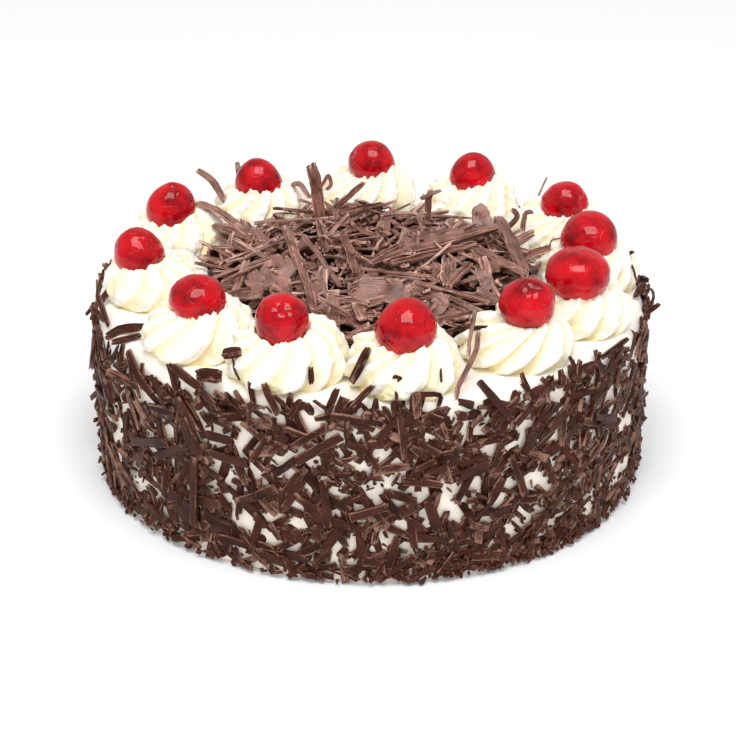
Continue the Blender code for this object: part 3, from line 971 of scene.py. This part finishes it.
# The conspicuous shavings on the heap: a line of points (x, y, height above the cream) in mm, the width
# in mm, and how far the face tips toward -Y and +X in degrees.
LONG_SHAVINGS = (
    (((-1, -17, 16), (26, 0, 18), (56, 18, 20)), 4.2, 40, 0),
    (((8, -21, 18), (46, 3, 18)), 3.4, 35, 0),
    (((-79, 44, 21), (-66, 30, 20), (-54, 15, 16)), 5.0, 25, 25),
    (((-71, 29, 16), (-54, 11, 16)), 4.0, 20, 0),
    (((-38, 16, 20), (-31, -24, 17)), 4.2, 10, 0),
    (((-30, -27, 19), (-23, -61, 13)), 3.8, 10, 0),
    (((-24, 29, 18), (-20, -1, 16)), 4.0, 0, 10),
    (((-12, 10, 19), (-7, -24, 16)), 3.6, 0, -15),
    (((-9, -6, 18), (0, -18, 16)), 2.8, 15, 0),
    (((-17, 56, 15), (-10, 52, 22), (-4, 50, 29)), 2.8, 70, 0),
    (((-14, 43, 17), (5, 52, 18)), 3.0, 30, 0),
    (((2, -9, 16), (12, 1, 18)), 3.0, 30, 0),
    (((33, -19, 20), (32, -38, 15)), 6.2, 20, 0),
    (((66, -7, 15), (78, -6, 20)), 3.2, 40, 0),
    (((32, -39, 15), (42, -23, 19)), 3.6, 20, 0),
    (((-59, -44, 12), (-45, -46, 14)), 4.5, 35, 0),
    (((19, -43, 18), (49, -55, 15)), 2.2, 25, 0),
    (((-15, -51, 14), (5, -53, 13)), 3.4, 40, 0),
    (((-16, -57, 12), (4, -59, 11)), 3.4, 40, 0),
    (((29, -62, 10), (49, -57, 10)), 2.2, 30, 0),
    (((-22, -56, 11), (-8, -63, 9)), 3.8, 35, 0),
    (((-30, -47, 12), (-17, -68, 8)), 4.0, 20, 0),
)
NEEDLES = (
    (((-30, 9, 19), (-13, -38, 15)), 2.3, 15, 0),
    (((4, 39, 17), (15, 41, 18), (24, 39, 17)), 1.4, 30, 0),
    (((-53, 29, 17), (-32, 34, 17)), 1.4, 40, 0),
    (((-70, -3, 18), (-59, 1, 16)), 1.2, 40, 0),
    (((-76, -17, 16), (-58, -11, 10)), 1.4, 40, 0),
    (((-67, -31, 15), (-40, -11, 18)), 1.8, 20, 0),
    (((-55, -12, 17), (-37, 8, 19)), 1.8, 20, 0),
    (((-63, -35, 15), (-44, -20, 18)), 1.6, 20, 0),
    (((-34, -40, 16), (-22, -36, 17)), 1.4, 30, 0),
    (((-4, -25, 17), (25, -35, 18)), 1.5, 30, 0),
)
UPRIGHTS = (
    (((-24, 46, 12), (-24.5, 46, 22), (-26, 46, 31), (-28.2, 46, 39)), 6.0, 80, 25),
    (((-23.6, 46, 28), (-20, 46, 34), (-18.6, 46, 30), (-20.5, 46, 27)), 1.8, 80, 0),
    (((25.6, 46, 12), (26.4, 46, 21), (26.7, 46, 27)), 3.2, 80, -20),
    (((22.7, 46, 23), (26, 45, 25), (31.3, 46, 27)), 2.0, 60, 0),
    (((62, 36, 12), (66, 35, 19), (64, 35, 22)), 2.6, 70, 0),
    (((69, 35, 12), (70, 35, 20), (73, 35, 21)), 2.2, 70, 20),
    (((-39, 79, 17), (-34, 70, 21), (-29, 62, 17)), 2.6, 40, 0),
    (((-84, 95, 19), (-77, 84, 18), (-69, 70, 12)), 3.4, 50, 0),
    (((-64, 88, 14), (-64, 90, 20), (-65, 92, 24)), 2.6, 80, 0),
    (((76, 62, 12), (79, 68, 18), (83, 76, 23)), 1.0, 60, 0),
    (((78, -2, 18), (79, 2, 20), (83, 5, 20)), 0.7, 60, 0),
    (((33, -116, 1), (34, -113, 5), (37, -106, 8), (41, -97, 12), (42, -89, 13.5), (43, -81, 13)), 2.0, 50, 20),
    (((38, -101, 12), (39, -94, 17.5), (41, -86, 25)), 1.5, 60, 20),
)
SLABS = (
    (((46, -5, 19), (66, -28, 16)), 4.2, 30, 0),
    (((57, 30, 20), (62, 5, 18), (66, -21, 15)), 7.0, 10, 25),
    (((48, 36, 22), (52, 21, 16)), 8.5, 50, 0),
    (((45, -7, 17), (53, -23, 16)), 6.0, 15, 0),
    (((46, -28, 18), (50, -38, 13)), 5.0, 30, 0),
)
PLATES = (
    (((14, 2, 17), (42, 12, 20)), 11.0, 18, 0),
    (((-39, -21, 20), (-41, -45, 13)), 13.0, 32, 0),
    (((-49, -29, 18), (-48, -44, 13)), 7.0, 25, 0),
    (((-22, -35, 17), (-20, -52, 11)), 5.5, 30, 0),
    (((-9, -45, 17), (18, -51, 17)), 13.0, 32, 0),
    (((24, -57, 11), (32, -54, 17)), 7.0, 40, 0),
)


# The conspicuous flakes at the rim, given in the same way
RIM_BARS = (
    (((-75, -95, -12), (-78, -90, -4), (-81, -84, 3)), 4.4, 75, -30),
    (((-66, -103, -2.5), (-73, -96, -1), (-80, -88, 1.5)), 3.6, 70, -25),
    (((-68, -100, 2), (-58, -105, 4)), 6.0, 65, -10),
    (((-45, -113, -5), (-47, -110, 4.5)), 2.4, 80, -10),
    (((-36, -117, -6), (-41, -112, 5)), 3.0, 80, -10),
    (((-32, -118, -3), (-37, -115, 1)), 2.0, 70, 0),
    (((-31, -120, -5), (-27, -119, 1)), 2.6, 80, 0),
    (((-17, -121, -4), (-13, -119, 6)), 3.0, 80, 0),
    (((-7, -122, 0), (1, -118, 7)), 2.6, 60, 0),
    (((84, -88, 0), (90, -81, -1)), 4.2, 50, 30),
    (((91, -81, -2), (92, -80, 4)), 2.2, 70, 40),
    (((93, -80, 2), (106, -60, 1)), 2.4, 55, 40),
    (((68, -102, -1), (72, -97, 1)), 2.2, 50, 30),
    (((76, -97, -3), (75, -95, 3)), 2.6, 70, 35),
    (((-110, -50, -4), (-103, -54, 1), (-94, -58, 4)), 3.8, 55, -30),
    (((-107, -58, -3), (-95, -62, 2)), 2.8, 60, -30),
    (((-116, -24, 1), (-111, -17, 7)), 3.4, 60, -50),
    (((-119, -32, 2), (-112, -42, -1)), 2.0, 60, -50),
    (((-117, -27, 5), (-110, -47, 0)), 2.8, 60, -50),
    (((-104, -64, -9), (-102, -62, -2)), 1.8, 80, -40),
    (((-88, -86, -13), (-95, -78, -7), (-99, -69, -2)), 3.4, 70, -40),
    (((-97, -76, -12), (-98, -72, -4)), 2.2, 75, -40),
    (((-58, -97, 10), (-51, -98, 12)), 4.6, 70, 0),
    (((-23, -113.5, 5.4), (-23, -110, 11)), 2.3, 70, 0),
    (((-7, -119, 9), (-4, -112, 13), (-1, -104, 16)), 3.6, 50, 15),
    (((40, -79, 14), (49, -79, 14)), 1.9, 40, 0),
    (((104, -8, 11), (109, -2, 13), (115, 2, 15)), 2.0, 50, 20),
    (((115, -16, 1.5), (118, -8, 3.5)), 2.8, 50, 40),
    (((116, -35, 1), (123, -30, 4)), 2.0, 50, 40),
)
RIM_CURLS = (
    (((16, -120, -4), (16, -120, 3.5), (21, -119, 4), (27, -117, 2.5), (26, -117, -2)), 2.0, 75, 0),
    (((14, -120, -3), (9, -121, 1.5), (9, -122, -3)), 1.8, 75, 0),
    (((83, -87, -2), (81, -86, 2), (79, -86, 5)), 1.4, 70, 30),
    (((-84, -88, -12), (-87, -84, -10), (-87, -82, -7)), 1.3, 75, -40),
    (((-54, -99, 9), (-53, -104, 7), (-51, -108, 4)), 1.0, 60, 0),
    (((10, -120, 1.5), (10, -117, 5.5), (11, -115, 8.5)), 1.4, 60, 0),
    (((8, -115, 9.5), (11, -115, 9), (14, -115, 7.5)), 1.3, 60, 0),
    (((10, -115, 6.5), (12, -114, 8.5), (14, -114, 10)), 1.3, 60, 0),
    (((27, -115, 7.5), (27, -112, 11.5)), 1.0, 60, 0),
    (((111, 10, 10), (114, -2, 11), (115, -16, 8)), 0.7, 50, 40),
    (((118, -17, 3), (121, -16, 5), (121, -25, 5), (118, -31, 3)), 1.2, 50, 40),
)


def lay(chips, rows, stations, thick, steps, relief, outline, wobble):
    """Sweep the listed shavings, which keep their ends and wander a little between them."""
    rng = chips.rng
    u = np.linspace(-0.5, 0.5, stations)
    for line, width, toward, aside in rows:
        path = smooth_line(line, stations) * MM + (0, 0, CAKE_TOP)
        path += 0.25 * wobble * width * MM * soft_noise(rng, (3, stations)).T * (1, 1, 0.5)
        face = np.array([math.sin(math.radians(aside)), -math.sin(math.radians(toward)), math.cos(math.radians(toward))])
        widths = width * MM * outline(u, 0.25) * (1 + 0.14 * wobble * soft_noise(rng, (stations,)))
        thicks = thick * MM * (1 + 0.2 * soft_noise(rng, (stations,)))
        section = shaving_section(rng, 1, steps, relief)
        chips.sweep(path[None], np.tile(face, (1, stations, 1)), widths[None], thicks[None], section)


def make_top_shavings(material):
    chips = Chips(640)
    lay(chips, LONG_SHAVINGS, 16, 1.7, 10, 0.28, blunt, 0.35)
    lay(chips, NEEDLES, 12, 1.2, 5, 0.2, blunt, 0.5)
    lay(chips, UPRIGHTS, 12, 1.2, 6, 0.12, blunt, 0.4)
    lay(chips, SLABS, 14, 1.6, 9, 0.05, blunt, 0.35)
    lay(chips, PLATES, 16, 1.6, 9, 0.04, leaf, 0.4)
    piece = chips.build("top_shavings", material)


# ---------------------------------------------------------------- stage

CAMERA_DISTANCE = 0.8355
CAMERA_ELEVATION = 25.35
CAMERA_TARGET = Vector((-0.0011, 0.0, 0.0386))
CAMERA_ROLL = 0.4
CAMERA_LENS = 90.5


def make_camera():
    data = bpy.data.cameras.new("camera")
    data.lens = CAMERA_LENS
    data.sensor_width = 36.0
    data.clip_start = 0.01
    camera = bpy.data.objects.new("camera", data)
    tilt = math.radians(90 - CAMERA_ELEVATION)
    turn = Matrix.Rotation(tilt, 4, "X") @ Matrix.Rotation(math.radians(CAMERA_ROLL), 4, "Z")
    back = turn.to_3x3() @ Vector((0, 0, 1))
    camera.matrix_world = Matrix.Translation(CAMERA_TARGET + back * CAMERA_DISTANCE) @ turn
    bpy.context.scene.collection.objects.link(camera)
    bpy.context.scene.camera = camera


def make_area(name, place, size, watts, color, target=(0, 0, 0.05)):
    data = bpy.data.lights.new(name, "AREA")
    data.shape = "RECTANGLE"
    data.size, data.size_y = size
    data.energy = watts
    data.color = color
    lamp = bpy.data.objects.new(name, data)
    lamp.location = place
    lamp.rotation_euler = (Vector(target) - Vector(place)).to_track_quat("-Z", "Y").to_euler()
    bpy.context.scene.collection.objects.link(lamp)
    return lamp


ROOM_STRENGTH = 0.5


def make_room():
    """An even white room."""
    world = bpy.data.worlds.new("white_room")
    world.use_nodes = True
    background = world.node_tree.nodes["Background"]
    background.inputs["Color"].default_value = (1.0, 0.985, 0.965, 1.0)
    background.inputs["Strength"].default_value = ROOM_STRENGTH
    bpy.context.scene.world = world


def make_stage():
    """A wide pale floor under a soft box, in a white room."""
    mesh = bpy.data.meshes.new("floor")
    bm = bmesh.new()
    bmesh.ops.create_grid(bm, x_segments=1, y_segments=1, size=6.0)
    bm.to_mesh(mesh)
    bm.free()
    mesh.materials.append(floor_material())
    floor = bpy.data.objects.new("floor", mesh)
    floor.location.z = CAKE_LOW[2] - 0.1 * MM
    bpy.context.scene.collection.objects.link(floor)
    make_room()
    make_area("soft_box", (0.0, -1.1, 3.5), (2.6, 2.0), 104.0, (1.0, 0.985, 0.96))
    card = make_area("front_card", (0.0, -3.2, 1.4), (4.4, 2.4), 44.0, (1.0, 0.985, 0.96))
    card.visible_glossy = False
    bpy.context.scene.view_settings.view_transform = "Standard"


def main():
    cream = cream_material("whipped_cream", (0.96, 0.93, 0.87), (0.99, 0.87, 0.775), 0.5)
    piped = cream_material("piped_cream", (0.955, 0.92, 0.845), (0.93, 0.79, 0.40), 0.42)
    flakes = chocolate_material("flake_chocolate", (0.049, 0.0142, 0.0087), (0.35, 0.188, 0.135), 0.38, 0.13, 0.36)
    crumbs = chocolate_material("crumb_chocolate", (0.060, 0.019, 0.012), (0.19, 0.078, 0.050), 0.6, 0.1)
    shavings = chocolate_material("shaving_chocolate", (0.235, 0.103, 0.076), (0.92, 0.57, 0.45), 0.40, 0.75, 0.30, 0.97)
    # Painted shade: the heap's lower bed is far darker than the shavings on top.
    deep = chocolate_material("shaded_deep_chocolate", (0.034, 0.008, 0.004), (0.11, 0.036, 0.020), 0.5, 0.05)
    # Painted shade: the heap's inside is darker still.
    core = chocolate_material("shaded_heap_inside", (0.035, 0.008, 0.004), (0.08, 0.026, 0.015), 0.6, 0.05)
    cherry = cherry_material()
    make_cream_cake(cream)
    for index in range(COUNT):
        make_rosette(index, piped)
        make_cherry(index, cherry)
    make_side_flakes(flakes)
    make_small_side_flakes(flakes)
    make_side_crumbs(flakes)
    make_foot_crumbs(crumbs)
    make_rim_flakes(flakes)
    make_heap_core(core)
    make_deep_shavings(deep)
    make_shavings(shavings)
    make_heap_crumbs(shavings)
    make_top_shavings(shavings)
    make_stage()
    make_camera()


main()
